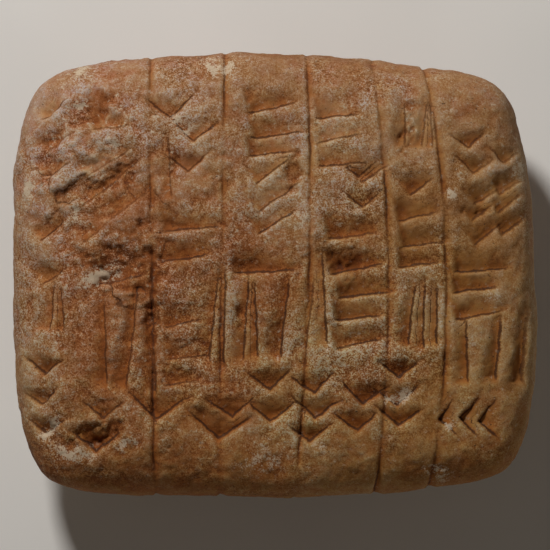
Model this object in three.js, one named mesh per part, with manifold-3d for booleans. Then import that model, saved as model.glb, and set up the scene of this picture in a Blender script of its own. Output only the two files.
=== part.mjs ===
// Clay tablet with ruled rows of stylus strokes. Millimetres, +Z up, written face up.
// Origin: middle of the footprint, on the flat spot the tablet rests on.
// +X runs across the rows, +Y runs along them.
import * as THREE from 'three';
import Module from 'manifold-3d';

const THICKNESS = 15.6;
const RIM_HEIGHT = 8.2; // height of the widest line of the edge
const FACE_CROWN = 0.9; // fall of the written face from its middle to its border
const BACK_SINK = 0.3; // how much of the rounded back is flattened to rest on
const EDGE_SHARPNESS = 3; // how upright the edge stands under the written face
const FACE_FLATNESS = 10; // how far out the written face stays level
const FLATNESS_SKEW = 3; // the side towards +X is turned more sharply than the side towards -X
const BACK_ROUNDING = 2.2;
const BACK_FULLNESS = 2.8;
const CORNER_POWER = 16;
const HALF_LENGTH = 22.4;
const HALF_WIDTH = 19.2;

// The outline is the rounded meeting of ten straight runs of edge:
// the way each faces in degrees from +X, and its distance from the middle.
const EDGE_RUNS = [
  { facing: 2, distance: 22.3 },
  { facing: 26, distance: 25.2 },
  { facing: 83, distance: 19.3 },
  { facing: 97, distance: 20.1 },
  { facing: 152, distance: 26.3 },
  { facing: 181, distance: 22.5 },
  { facing: 216, distance: 27.4 },
  { facing: 268, distance: 19.4 },
  { facing: 280, distance: 20.9 },
  { facing: 334, distance: 26.3 },
];

// Row borders: distance across at mid length, lean towards +Y, and bow of the ends towards -X.
// The first and last are the sides of the tablet, the second one has worn away.
const BORDERS = [
  { across: -21.6, lean: 0, bow: 0, ruled: false },
  { across: -16.2, lean: 0, bow: 0, ruled: false },
  { across: -10.5, lean: -0.2, bow: 0, ruled: true },
  { across: -4.6, lean: 0.25, bow: 0, ruled: true },
  { across: 2.8, lean: 0.5, bow: 0.75, ruled: true },
  { across: 9.5, lean: -0.2, bow: 1.3, ruled: true },
  { across: 14.4, lean: -0.3, bow: 1.8, ruled: true },
  { across: 21.6, lean: 0, bow: 0.6, ruled: false },
];
const RULING = { depth: 0.38, width: 0.75, reach: 19, samples: 32 };

const GRID = { across: 28, along: 24, crowding: 2.1 };
const BORDER_RING = 0.9999; // grid points past this lie on the outline
const RIM_LIMIT = 0.9985; // how near to the outline the rulings turn round the edge
const SLOPE_STEP = 0.4;
const CUT_MARGIN = 0.15; // how far the cutting shapes stand out of the clay

// Stroke forms. Those abreast stand side by side across the row, the others follow along it.
const FORMS = {
  bars: { width: 1.5, tail: 0.75, depth: 0.55, turn: 88, abreast: true },
  steps: { width: 2.1, tail: 0.6, depth: 0.8, turn: 8, abreast: false },
  slants: { width: 1.8, tail: 0.6, depth: 0.65, turn: 36, abreast: false },
  hooks: { depth: 0.9, turn: 90, opening: 100, abreast: false },
  sideHooks: { depth: 0.75, turn: 4, opening: 94, abreast: true },
};

// Groups of strokes: row, place across it (0 to 1), place along it, how many,
// their spacing, the reach of each stroke and how fresh the impression still is.
const GROUPS = [
  { row: 0, kind: 'hooks', across: 0.32, along: -13.8, count: 3, pitch: 2.5, reach: 2.9, fresh: 1 },
  { row: 0, kind: 'bars', across: 0.4, along: -4.8, count: 2, pitch: 1.5, reach: 4.4, fresh: 0.9 },
  { row: 0, kind: 'slants', across: 0.14, along: -0.2, count: 2, pitch: 3.9, reach: 3, fresh: 0.9 },
  { row: 0, kind: 'slants', across: 0.2, along: 8.6, count: 3, pitch: 2.6, reach: 3.6, fresh: 0.7 },
  { row: 1, kind: 'hooks', across: 0.16, along: -15.7, count: 1, pitch: 0, reach: 4.2, fresh: 0.9 },
  { row: 1, kind: 'hooks', across: 0.3, along: -12.6, count: 1, pitch: 0, reach: 3.4, fresh: 0.6 },
  { row: 1, kind: 'bars', across: 0.34, along: -9.4, count: 2, pitch: 1.4, reach: 8.8, fresh: 1.1 },
  { row: 1, kind: 'bars', across: 0.93, along: -10.2, count: 1, pitch: 0, reach: 10.6, fresh: 1.3 },
  { row: 1, kind: 'steps', across: 0.1, along: 0.3, count: 1, pitch: 0, reach: 5, fresh: 1 },
  { row: 1, kind: 'slants', across: -0.15, along: 3.6, count: 3, pitch: 2.7, reach: 5, fresh: 0.8 },
  { row: 1, kind: 'slants', across: 0.35, along: 6, count: 2, pitch: 2.6, reach: 3.6, fresh: 0.6 },
  { row: 1, kind: 'steps', across: 0.02, along: 13.6, count: 1, pitch: 0, reach: 3.6, fresh: 1 },
  { row: 2, kind: 'hooks', across: 0.02, along: -12.6, count: 1, pitch: 0, reach: 4.4, fresh: 1.1 },
  { row: 2, kind: 'hooks', across: 0.96, along: -14.4, count: 1, pitch: 0, reach: 4.6, fresh: 1.1 },
  { row: 2, kind: 'bars', across: 0.8, along: -7.6, count: 2, pitch: 1.2, reach: 8.6, fresh: 1 },
  { row: 2, kind: 'steps', across: 0.12, along: -8.4, count: 3, pitch: 2.5, reach: 4, fresh: 0.9 },
  { row: 2, kind: 'steps', across: 0.1, along: 2, count: 2, pitch: 2.9, reach: 5.2, fresh: 1 },
  { row: 2, kind: 'hooks', across: 0.56, along: 8.4, count: 2, pitch: 2.6, reach: 3.4, fresh: 1.1 },
  { row: 2, kind: 'bars', across: 0.18, along: 6.4, count: 1, pitch: 0, reach: 6.4, fresh: 0.7 },
  { row: 2, kind: 'hooks', across: 0.3, along: 13.2, count: 1, pitch: 0, reach: 3.8, fresh: 1 },
  { row: 3, kind: 'hooks', across: 0.16, along: -12.2, count: 1, pitch: 0, reach: 3.6, fresh: 1 },
  { row: 3, kind: 'hooks', across: 0.62, along: -12.6, count: 2, pitch: 2.5, reach: 3.7, fresh: 1.1 },
  { row: 3, kind: 'bars', across: 0.36, along: -7.2, count: 3, pitch: 1.6, reach: 7.6, fresh: 1.1 },
  { row: 3, kind: 'bars', across: 0.86, along: -7.8, count: 1, pitch: 0, reach: 8, fresh: 0.6 },
  { row: 3, kind: 'steps', across: 0.1, along: 1.2, count: 1, pitch: 0, reach: 5.8, fresh: 1.1 },
  { row: 3, kind: 'slants', across: 0.3, along: 4, count: 3, pitch: 2.1, reach: 4.6, fresh: 0.7 },
  { row: 3, kind: 'steps', across: 0.26, along: 11, count: 3, pitch: 1.9, reach: 4.8, fresh: 1 },
  { row: 4, kind: 'hooks', across: 0.14, along: -14.6, count: 3, pitch: 2.2, reach: 3.5, fresh: 1.1 },
  { row: 4, kind: 'hooks', across: 0.72, along: -13.6, count: 2, pitch: 2.3, reach: 3.7, fresh: 1.1 },
  { row: 4, kind: 'bars', across: 0.16, along: -6, count: 1, pitch: 0, reach: 9.4, fresh: 1 },
  { row: 4, kind: 'steps', across: 0.3, along: -5.1, count: 3, pitch: 2.2, reach: 4.8, fresh: 1.3 },
  { row: 4, kind: 'steps', across: 0.2, along: 1.3, count: 2, pitch: 2.6, reach: 5, fresh: 1.4 },
  { row: 4, kind: 'hooks', across: 0.68, along: 5.6, count: 2, pitch: 2.3, reach: 2.8, fresh: 1 },
  { row: 4, kind: 'slants', across: 0.55, along: 8.6, count: 1, pitch: 0, reach: 3, fresh: 1 },
  { row: 4, kind: 'steps', across: 0.06, along: 10.4, count: 3, pitch: 1.9, reach: 4.4, fresh: 0.8 },
  { row: 5, kind: 'hooks', across: 0.24, along: -13.2, count: 3, pitch: 2, reach: 3.4, fresh: 1.1 },
  { row: 5, kind: 'bars', across: 0.46, along: -6.2, count: 3, pitch: 1.3, reach: 6.2, fresh: 1 },
  { row: 5, kind: 'steps', across: 0.14, along: 1.6, count: 3, pitch: 2, reach: 4.2, fresh: 1.1 },
  { row: 5, kind: 'slants', across: 0.3, along: 7.2, count: 1, pitch: 0, reach: 3, fresh: 0.9 },
  { row: 5, kind: 'bars', across: 0.52, along: 10.6, count: 3, pitch: 1.1, reach: 4.6, fresh: 1 },
  { row: 6, kind: 'sideHooks', across: 0.2, along: -12.3, count: 3, pitch: 1.6, reach: 2.9, fresh: 1.1 },
  { row: 6, kind: 'bars', across: 0.52, along: -9.2, count: 3, pitch: 2.3, reach: 6.6, fresh: 1.1 },
  { row: 6, kind: 'steps', across: 0.04, along: -2.6, count: 3, pitch: 2, reach: 4.8, fresh: 1 },
  { row: 6, kind: 'slants', across: 0.24, along: 3.4, count: 3, pitch: 1.6, reach: 3.2, fresh: 1 },
  { row: 6, kind: 'slants', across: 0.56, along: 4.2, count: 3, pitch: 1.6, reach: 3.2, fresh: 1 },
  { row: 6, kind: 'hooks', across: 0.36, along: 8.4, count: 2, pitch: 2.2, reach: 2.7, fresh: 1 },
  { row: 6, kind: 'hooks', across: 0.72, along: 9.2, count: 1, pitch: 0, reach: 2.6, fresh: 0.9 },
];

const radians = THREE.MathUtils.degToRad;

function outlineRadius(angle) {
  let sum = 0;
  for (const run of EDGE_RUNS) {
    const reach = Math.cos(angle - radians(run.facing)) / run.distance;
    if (reach > 0) {
      sum += reach ** CORNER_POWER;
    }
  }
  return sum ** (-1 / CORNER_POWER);
}

// Share of the way from the middle (0) to the outline (1).
function shareOut(x, y) {
  return Math.hypot(x, y) / outlineRadius(Math.atan2(y, x));
}

function faceProfile(share, angle) {
  const flatness = FACE_FLATNESS + FLATNESS_SKEW * Math.cos(angle);
  const inner = Math.max(0, 1 - share ** flatness);
  const rise = THICKNESS - RIM_HEIGHT - FACE_CROWN * share ** 2;
  return RIM_HEIGHT + rise * inner ** (1 / EDGE_SHARPNESS);
}

function backProfile(share) {
  const inner = Math.max(0, 1 - share ** BACK_FULLNESS);
  return RIM_HEIGHT - (RIM_HEIGHT + BACK_SINK) * inner ** (1 / BACK_ROUNDING);
}

function surfaceHeight(x, y, isFace) {
  const share = shareOut(x, y);
  return isFace ? faceProfile(share, Math.atan2(y, x)) : backProfile(share);
}

// A square grid drawn in to the outline on each side, sharing its border.
function bodyTriangles() {
  const points = [];
  const triangles = [];
  const addSide = (isFace, rim) => {
    const index = [];
    for (let j = 0; j <= GRID.along; j += 1) {
      for (let i = 0; i <= GRID.across; i += 1) {
        const u = (2 * i) / GRID.across - 1;
        const v = (2 * j) / GRID.along - 1;
        const ring = Math.max(Math.abs(u), Math.abs(v));
        const key = `${i},${j}`;
        if (ring > BORDER_RING && rim.has(key)) {
          index.push(rim.get(key));
          continue;
        }
        const share = 1 - (1 - ring) ** GRID.crowding;
        const angle = Math.atan2(v * HALF_WIDTH, u * HALF_LENGTH);
        const radius = share * outlineRadius(angle);
        const height = isFace ? faceProfile(share, angle) : Math.max(0, backProfile(share));
        if (ring > BORDER_RING) {
          rim.set(key, points.length / 3);
        }
        index.push(points.length / 3);
        points.push(radius * Math.cos(angle), radius * Math.sin(angle), height);
      }
    }
    const width = GRID.across + 1;
    for (let j = 0; j < GRID.along; j += 1) {
      for (let i = 0; i < GRID.across; i += 1) {
        const a = index[j * width + i];
        const b = index[j * width + i + 1];
        const c = index[(j + 1) * width + i + 1];
        const d = index[(j + 1) * width + i];
        const slopesUp = i < GRID.across / 2 === j < GRID.along / 2;
        const pair = slopesUp ? [a, b, c, a, c, d] : [a, b, d, b, c, d];
        triangles.push(...(isFace ? pair : pair.reverse()));
      }
    }
  };
  const rim = new Map();
  addSide(true, rim);
  addSide(false, rim);
  return { points, triangles };
}

function borderAcross(border, y) {
  const share = y / HALF_WIDTH;
  return border.across + border.lean * share - border.bow * share * share;
}

function toManifold(wasm, points, triangles) {
  const mesh = new wasm.Mesh({
    numProp: 3,
    vertProperties: new Float32Array(points),
    triVerts: new Uint32Array(triangles),
  });
  return new wasm.Manifold(mesh);
}

// Closed cutting shape from corners and faces, turned to look outwards if it was wound inwards.
function cutterFrom(wasm, corners, faces) {
  const [a, b, c] = faces[0].map((n) => corners[n]);
  const centre = corners.reduce((sum, p) => sum.add(p), new THREE.Vector3()).divideScalar(corners.length);
  const outward = b.clone().sub(a).cross(c.clone().sub(a)).dot(a.clone().sub(centre));
  const wound = outward > 0 ? faces : faces.map(([i, j, k]) => [i, k, j]);
  return toManifold(wasm, corners.flatMap((p) => p.toArray()), wound.flat());
}

const FOUR_FACES = [[0, 1, 2], [0, 3, 1], [1, 3, 2], [2, 3, 0]];
const TAIL_FACES = [[0, 1, 2], [0, 2, 3], [0, 3, 4], [1, 3, 2], [1, 4, 3], [1, 0, 4]];

// Frame on the written face: its own normal, and the stroke direction laid along it.
function frameAt(x, y, turn) {
  const step = SLOPE_STEP;
  const slopeX = (surfaceHeight(x + step, y, true) - surfaceHeight(x - step, y, true)) / (2 * step);
  const slopeY = (surfaceHeight(x, y + step, true) - surfaceHeight(x, y - step, true)) / (2 * step);
  const normal = new THREE.Vector3(-slopeX, -slopeY, 1).normalize();
  const forward = new THREE.Vector3(Math.cos(turn), Math.sin(turn), 0);
  forward.addScaledVector(normal, -forward.dot(normal)).normalize();
  const side = normal.clone().cross(forward);
  const origin = new THREE.Vector3(x, y, surfaceHeight(x, y, true));
  return (along, across, up) => origin.clone()
    .addScaledVector(forward, along)
    .addScaledVector(side, across)
    .addScaledVector(normal, up);
}

// A stroke is the print of a stylus corner: a three-sided head and a trough that dies away.
function strokeCutters(wasm, stroke) {
  const at = frameAt(stroke.x, stroke.y, stroke.turn);
  const half = stroke.width / 2;
  const head = [
    at(0, -half, CUT_MARGIN),
    at(0, half, CUT_MARGIN),
    at(stroke.width, 0, CUT_MARGIN),
    at(0.35 * stroke.width, 0, -stroke.depth),
  ];
  const tail = [
    at(0.3 * stroke.width, -stroke.tail * half, CUT_MARGIN),
    at(0.3 * stroke.width, stroke.tail * half, CUT_MARGIN),
    at(0.4 * stroke.width, 0, -0.8 * stroke.depth),
    at(0.75 * stroke.reach, 0, -0.45 * stroke.depth),
    at(stroke.reach, 0, CUT_MARGIN),
  ];
  return [cutterFrom(wasm, head, FOUR_FACES), cutterFrom(wasm, tail, TAIL_FACES)];
}

// A hook is the print of the whole corner: steep along two arms, rising gently between them.
function hookCutters(wasm, hook) {
  const at = frameAt(hook.x, hook.y, hook.turn);
  const spread = radians(hook.opening / 2);
  const corners = [
    at(-0.1, 0, CUT_MARGIN),
    at(hook.reach * Math.cos(spread), hook.reach * Math.sin(spread), CUT_MARGIN),
    at(hook.reach * Math.cos(spread), -hook.reach * Math.sin(spread), CUT_MARGIN),
    at(0.22 * hook.reach, 0, -hook.depth),
  ];
  return [cutterFrom(wasm, corners, FOUR_FACES)];
}

// The unevenness of a hand: no two strokes of a group quite alike.
function sway(number, trait) {
  return Math.sin(2.4 * number + 1.9 * trait);
}

function groupStrokes(group, groupNumber) {
  const form = FORMS[group.kind];
  const strokes = [];
  for (let n = 0; n < group.count; n += 1) {
    const number = 5 * groupNumber + n;
    const along = group.along + (form.abreast ? 0 : n * group.pitch);
    const left = borderAcross(BORDERS[group.row], along);
    const right = borderAcross(BORDERS[group.row + 1], along);
    const shift = form.abreast ? (n - (group.count - 1) / 2) * group.pitch : 0;
    strokes.push({
      ...form,
      x: left + (right - left) * group.across + shift + 0.15 * sway(number, 1),
      y: along + 0.2 * sway(number, 2),
      turn: radians(form.turn + 5 * sway(number, 3)),
      reach: group.reach * (1 + 0.1 * sway(number, 4)),
      depth: form.depth * group.fresh * (1 + 0.12 * sway(number, 5)),
    });
  }
  return strokes;
}

// A ruling is a V-shaped groove carried once round the tablet, dying out over the flat spot.
function rulingCutter(wasm, border) {
  const loop = [];
  for (let n = 0; n < RULING.samples; n += 1) {
    const phase = (2 * Math.PI * n) / RULING.samples;
    const isFace = phase <= Math.PI;
    const end = Math.sign(Math.cos(phase)) * RULING.reach;
    const y = (RULING.reach * Math.cos(phase) * RIM_LIMIT) / shareOut(borderAcross(border, end), end);
    const x = borderAcross(border, y);
    const share = Math.min(shareOut(x, y), RIM_LIMIT);
    const height = surfaceHeight(x, y, isFace);
    const fade = isFace ? 1 : THREE.MathUtils.smoothstep(share, 0.45, 0.7);
    loop.push({ point: new THREE.Vector3(x, y, height), fade });
  }
  const points = [];
  const triangles = [];
  const outwardX = new THREE.Vector3(1, 0, 0);
  loop.forEach((place, n) => {
    const before = loop[(n + loop.length - 1) % loop.length].point;
    const after = loop[(n + 1) % loop.length].point;
    const tangent = after.clone().sub(before).normalize();
    const side = outwardX.clone().addScaledVector(tangent, -tangent.x).normalize();
    const normal = tangent.clone().cross(side);
    const half = RULING.width / 2;
    const low = place.point.clone().addScaledVector(normal, -RULING.depth * place.fade);
    const high = place.point.clone().addScaledVector(normal, CUT_MARGIN + 0.1);
    points.push(...low.toArray());
    points.push(...high.clone().addScaledVector(side, half).toArray());
    points.push(...high.clone().addScaledVector(side, -half).toArray());
  });
  for (let n = 0; n < loop.length; n += 1) {
    const next = (n + 1) % loop.length;
    for (let k = 0; k < 3; k += 1) {
      const a = 3 * n + k;
      const b = 3 * n + ((k + 1) % 3);
      const c = 3 * next + ((k + 1) % 3);
      const d = 3 * next + k;
      triangles.push(a, b, c, a, c, d);
    }
  }
  return toManifold(wasm, points, triangles);
}

function toGeometry(solid) {
  const mesh = solid.getMesh();
  const geometry = new THREE.BufferGeometry();
  geometry.setAttribute('position', new THREE.BufferAttribute(new Float32Array(mesh.vertProperties), 3));
  geometry.setIndex(new THREE.BufferAttribute(new Uint32Array(mesh.triVerts), 1));
  return geometry;
}

const wasm = await Module();
wasm.setup();

const body = bodyTriangles();
let tablet = toManifold(wasm, body.points, body.triangles);
for (const border of BORDERS.filter((b) => b.ruled)) {
  tablet = tablet.subtract(rulingCutter(wasm, border));
}
for (const stroke of GROUPS.flatMap(groupStrokes)) {
  const cutters = stroke.opening ? hookCutters(wasm, stroke) : strokeCutters(wasm, stroke);
  for (const cutter of cutters) {
    tablet = tablet.subtract(cutter);
  }
}

const geometry = toGeometry(tablet);
geometry.computeBoundingBox();
const middle = geometry.boundingBox.getCenter(new THREE.Vector3());
geometry.translate(-middle.x, -middle.y, -geometry.boundingBox.min.z);

const clay = new THREE.MeshStandardMaterial({ color: 0xa87a52, roughness: 0.95, metalness: 0 });
const mesh = new THREE.Mesh(geometry, clay);
mesh.name = 'tablet';

const group = new THREE.Group();
group.name = 'cuneiform_tablet';
group.add(mesh);

export default group;
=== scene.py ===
"""Dressed clay tablet: a worn, fine-grained surface with ruled rows of shallow stylus strokes.

Shapes are worked out in millimetres and become metres when a mesh is written. The frame is the
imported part's own: +X across the ruled rows, +Y along them, +Z out of the written face, and the
origin on the flat spot of the back that the tablet rests on.
"""

import logging
import math
from dataclasses import dataclass, field
from enum import Enum
from types import EllipsisType

import bpy
import numpy as np
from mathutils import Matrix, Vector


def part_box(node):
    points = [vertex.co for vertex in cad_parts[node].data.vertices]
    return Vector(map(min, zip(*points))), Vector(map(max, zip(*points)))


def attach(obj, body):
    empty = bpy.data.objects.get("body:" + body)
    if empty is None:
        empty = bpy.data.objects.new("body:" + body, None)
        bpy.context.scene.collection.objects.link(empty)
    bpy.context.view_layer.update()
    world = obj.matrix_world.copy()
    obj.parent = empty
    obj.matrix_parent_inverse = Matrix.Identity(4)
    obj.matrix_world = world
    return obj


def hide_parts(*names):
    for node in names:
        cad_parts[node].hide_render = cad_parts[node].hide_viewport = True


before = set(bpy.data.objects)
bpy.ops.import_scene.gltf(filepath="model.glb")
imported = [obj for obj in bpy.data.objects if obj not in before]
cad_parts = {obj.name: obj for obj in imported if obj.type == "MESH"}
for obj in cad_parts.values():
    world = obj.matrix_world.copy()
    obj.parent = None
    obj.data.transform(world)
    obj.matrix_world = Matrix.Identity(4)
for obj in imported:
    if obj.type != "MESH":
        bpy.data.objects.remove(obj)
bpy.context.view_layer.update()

MM = 0.001
LOG = logging.getLogger("tablet")

Array = np.ndarray
Window = tuple[slice, slice] | EllipsisType
Colour = tuple[float, float, float, float]
Socket = bpy.types.NodeSocket

FIELDS = ("cut", "across", "crease", "hollow", "raised", "grit", "dust_and_rim_shade", "crust", "rust", "shaded_side_warmth")


def ease(value: Array, low: float, high: float) -> Array:
    """Smooth step: 0 below low, 1 above high, and the cubic 3t^2 - 2t^3 between them.

    Args:
        value: what is compared with the two limits.
        low: where the step starts. It may be above high, and the step then falls.
        high: where the step ends.

    Returns:
        Values from 0 to 1.
    """
    t = np.clip((value - low) / (high - low), 0.0, 1.0)
    return t * t * (3.0 - 2.0 * t)


def blurred(values: Array, cells: float) -> Array:
    """Gaussian blur: each row and then each column is averaged with bell-shaped weights.

    Args:
        values: a field on a grid.
        cells: the bell's standard deviation in grid cells.

    Returns:
        The blurred field, where the grid's border is carried on outwards.
    """
    reach = int(3.0 * cells) + 1
    weights = np.exp(-0.5 * (np.arange(-reach, reach + 1) / cells) ** 2)
    weights /= weights.sum()
    rows, columns = values.shape
    padded = np.pad(values, reach, mode="edge")
    across = sum(w * padded[:, k : k + columns] for k, w in enumerate(weights))
    return sum(w * across[k : k + rows, :] for k, w in enumerate(weights))


class LatticeNoise:
    """Seeded gradient noise: random slopes on a wrapped cubic lattice, eased between points."""

    def __init__(self, seed: int, size: int = 32) -> None:
        """Draws the lattice's slopes.

        Args:
            seed: what the random slopes are drawn from.
            size: lattice points each way before the pattern repeats.
        """
        slopes = np.random.default_rng(seed).normal(size=(size, size, size, 3))
        self.slopes = slopes / np.linalg.norm(slopes, axis=-1, keepdims=True)
        self.size = size

    def at(self, points: Array, wavelength: float) -> Array:
        """Noise of about -1 to 1 at points, whose bumps are about wavelength across.

        Args:
            points: places in millimetres, with x, y and z in the last axis.
            wavelength: the lattice's step in millimetres.

        Returns:
            One value for each point.
        """
        scaled = points / wavelength + 7.31
        cell = np.floor(scaled).astype(int)
        part = scaled - cell
        blend = part**3 * (part * (part * 6.0 - 15.0) + 10.0)
        total = np.zeros(points.shape[:-1])
        for corner in np.ndindex(2, 2, 2):
            offset = np.array(corner)
            index = (cell + offset) % self.size
            slope = self.slopes[index[..., 0], index[..., 1], index[..., 2]]
            weight = np.prod(np.where(offset == 1, blend, 1.0 - blend), axis=-1)
            total += weight * np.sum(slope * (part - offset), axis=-1)
        return 1.6 * total

    def layered(self, points: Array, wavelength: float, layers: int, gain: float) -> Array:
        """Sum of noises, each half as wide as the last and gain times as strong.

        Args:
            points: places in millimetres.
            wavelength: width of the first layer's bumps.
            layers: how many layers are added.
            gain: strength of each layer against the one before it.

        Returns:
            One value for each point.
        """
        total = np.zeros(points.shape[:-1])
        for number in range(layers):
            shifted = points + 3.7 * number
            total += gain**number * self.at(shifted, wavelength * 0.5**number)
        return total

    def billowed(self, points: Array, wavelength: float, layers: int, gain: float) -> Array:
        """Sum of the noises' sizes without their signs: round lumps with sharp creases between."""
        total = np.zeros(points.shape[:-1])
        for number in range(layers):
            shifted = points + 5.3 * number
            total += gain**number * (np.abs(self.at(shifted, wavelength * 0.5**number)) - 0.3)
        return total


@dataclass(frozen=True)
class EdgeRun:
    """One straight run of the outline: the way it faces and its distance from the middle."""

    facing: float
    distance: float


@dataclass(frozen=True)
class Outline:
    """The outline seen from above, where its straight runs of edge meet in round corners."""

    runs: tuple[EdgeRun, ...] = (
        EdgeRun(2, 22.3),
        EdgeRun(26, 25.2),
        EdgeRun(83, 19.3),
        EdgeRun(97, 20.1),
        EdgeRun(152, 26.3),
        EdgeRun(181, 22.5),
        EdgeRun(216, 27.4),
        EdgeRun(268, 19.4),
        EdgeRun(280, 20.9),
        EdgeRun(334, 26.3),
    )
    corner_power: float = 16.0

    def radius(self, angle: Array) -> Array:
        """Distance from the middle to the outline along angle.

        Each run alone is a straight line, at distance / cos(angle - facing). Their reciprocals are
        added in a high power, so that the nearest run wins and the corners are rounded.
        """
        facing = np.radians([run.facing for run in self.runs])
        distance = np.array([run.distance for run in self.runs])
        reach = np.maximum(np.cos(angle[..., None] - facing) / distance, 0.0)
        return np.sum(reach**self.corner_power, axis=-1) ** (-1.0 / self.corner_power)

    def share(self, x: Array, y: Array) -> Array:
        """Share of the way from the middle (0) to the outline (1)."""
        return np.hypot(x, y) / self.radius(np.arctan2(y, x))


@dataclass(frozen=True)
class Cushion:
    """The tablet's smooth form: a level written face, upright edges and a rounder back."""

    thickness: float
    outline: Outline = Outline()
    half_length: float = 22.4
    half_width: float = 19.2
    rim_height: float = 8.2
    face_crown: float = 0.9
    back_sink: float = 0.3
    edge_sharpness: float = 3.0
    back_rounding: float = 2.2
    back_fullness: float = 2.8
    face_flatness: float = 10.0
    flatness_skew: float = 3.0

    def face_height(self, share: Array, angle: Array) -> Array:
        """Height of the written face: a slight crown times (1 - share^flatness)^(1/sharpness)."""
        flatness = self.face_flatness + self.flatness_skew * np.cos(angle)
        inner = np.maximum(0.0, 1.0 - share**flatness)
        rise = self.thickness - self.rim_height - self.face_crown * share**2
        return self.rim_height + rise * inner ** (1.0 / self.edge_sharpness)

    def back_height(self, share: Array) -> Array:
        """Height of the back: a rounder curve of the same kind, cut off level at the rest spot."""
        inner = np.maximum(0.0, 1.0 - share**self.back_fullness)
        drop = (self.rim_height + self.back_sink) * inner ** (1.0 / self.back_rounding)
        return np.maximum(0.0, self.rim_height - drop)

    def middle(self) -> tuple[float, float]:
        """Middle of the outline's own box, which the part's frame has at its origin."""
        angle = np.linspace(0.0, 2.0 * math.pi, 1440, endpoint=False)
        radius = self.outline.radius(angle)
        x, y = radius * np.cos(angle), radius * np.sin(angle)
        return (x.max() + x.min()) / 2.0, (y.max() + y.min()) / 2.0


@dataclass(frozen=True)
class RowBorder:
    """A border between rows: where it crosses the middle, its lean along +Y and its bow."""

    across: float
    lean: float
    bow: float
    ruled: bool

    def at(self, y: Array) -> Array:
        """Place across the tablet at y: straight, leaning, and bowed by the square of y."""
        share = y / 19.2
        return self.across + self.lean * share - self.bow * share**2


BORDERS = (
    RowBorder(-21.6, 0.0, 0.0, False),
    RowBorder(-16.2, 0.0, 0.0, False),
    RowBorder(-10.5, -0.2, 0.0, True),
    RowBorder(-4.6, 0.25, 0.0, True),
    RowBorder(2.8, 0.5, 0.75, True),
    RowBorder(9.5, -0.2, 1.3, True),
    RowBorder(14.4, -0.3, 1.8, True),
    RowBorder(21.6, 0.0, 0.6, False),
)


class StrokeKind(Enum):
    """The kinds of stroke that the rows are filled with. None of them is a letter."""

    BARS = "bars"
    STEPS = "steps"
    SLANTS = "slants"
    HOOKS = "hooks"
    SIDE_HOOKS = "side hooks"


@dataclass(frozen=True)
class StrokeForm:
    """Print of a stylus: a head and a trough, or with an opening angle a two-armed hook.

    The deepest line of a trough lies skew of the way from its middle to its right side, so that
    one wall is steep and the other is a broad slope.
    """

    depth: float
    turn: float
    width: float = 0.0
    tail: float = 0.0
    skew: float = 0.86
    opening: float = 0.0
    abreast: bool = False


FORMS = {
    StrokeKind.BARS: StrokeForm(depth=0.5, turn=88, width=1.8, tail=0.95, abreast=True),
    StrokeKind.STEPS: StrokeForm(depth=0.6, turn=8, width=2.8, tail=0.9),
    StrokeKind.SLANTS: StrokeForm(depth=0.58, turn=36, width=2.4, tail=0.9),
    StrokeKind.HOOKS: StrokeForm(depth=0.58, turn=90, opening=100),
    StrokeKind.SIDE_HOOKS: StrokeForm(depth=0.48, turn=4, opening=94, abreast=True),
}


@dataclass(frozen=True)
class StrokeGroup:
    """A run of like strokes: its row, its place across (0 to 1) and along, and their spacing."""

    row: int
    kind: StrokeKind
    across: float
    along: float
    count: int
    pitch: float
    reach: float
    fresh: float


@dataclass(frozen=True)
class Stroke:
    """One stroke, laid out: its form, head, direction in radians, reach and depth."""

    form: StrokeForm
    x: float
    y: float
    turn: float
    reach: float
    depth: float


BARS, STEPS, SLANTS, HOOKS, SIDE_HOOKS = StrokeKind

def groups_from(*rows: tuple[tuple, ...]) -> tuple[StrokeGroup, ...]:
    """Groups from each row's own: kind, across, along, count, pitch, reach and freshness."""
    return tuple(StrokeGroup(row, *group) for row, groups in enumerate(rows) for group in groups)


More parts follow.
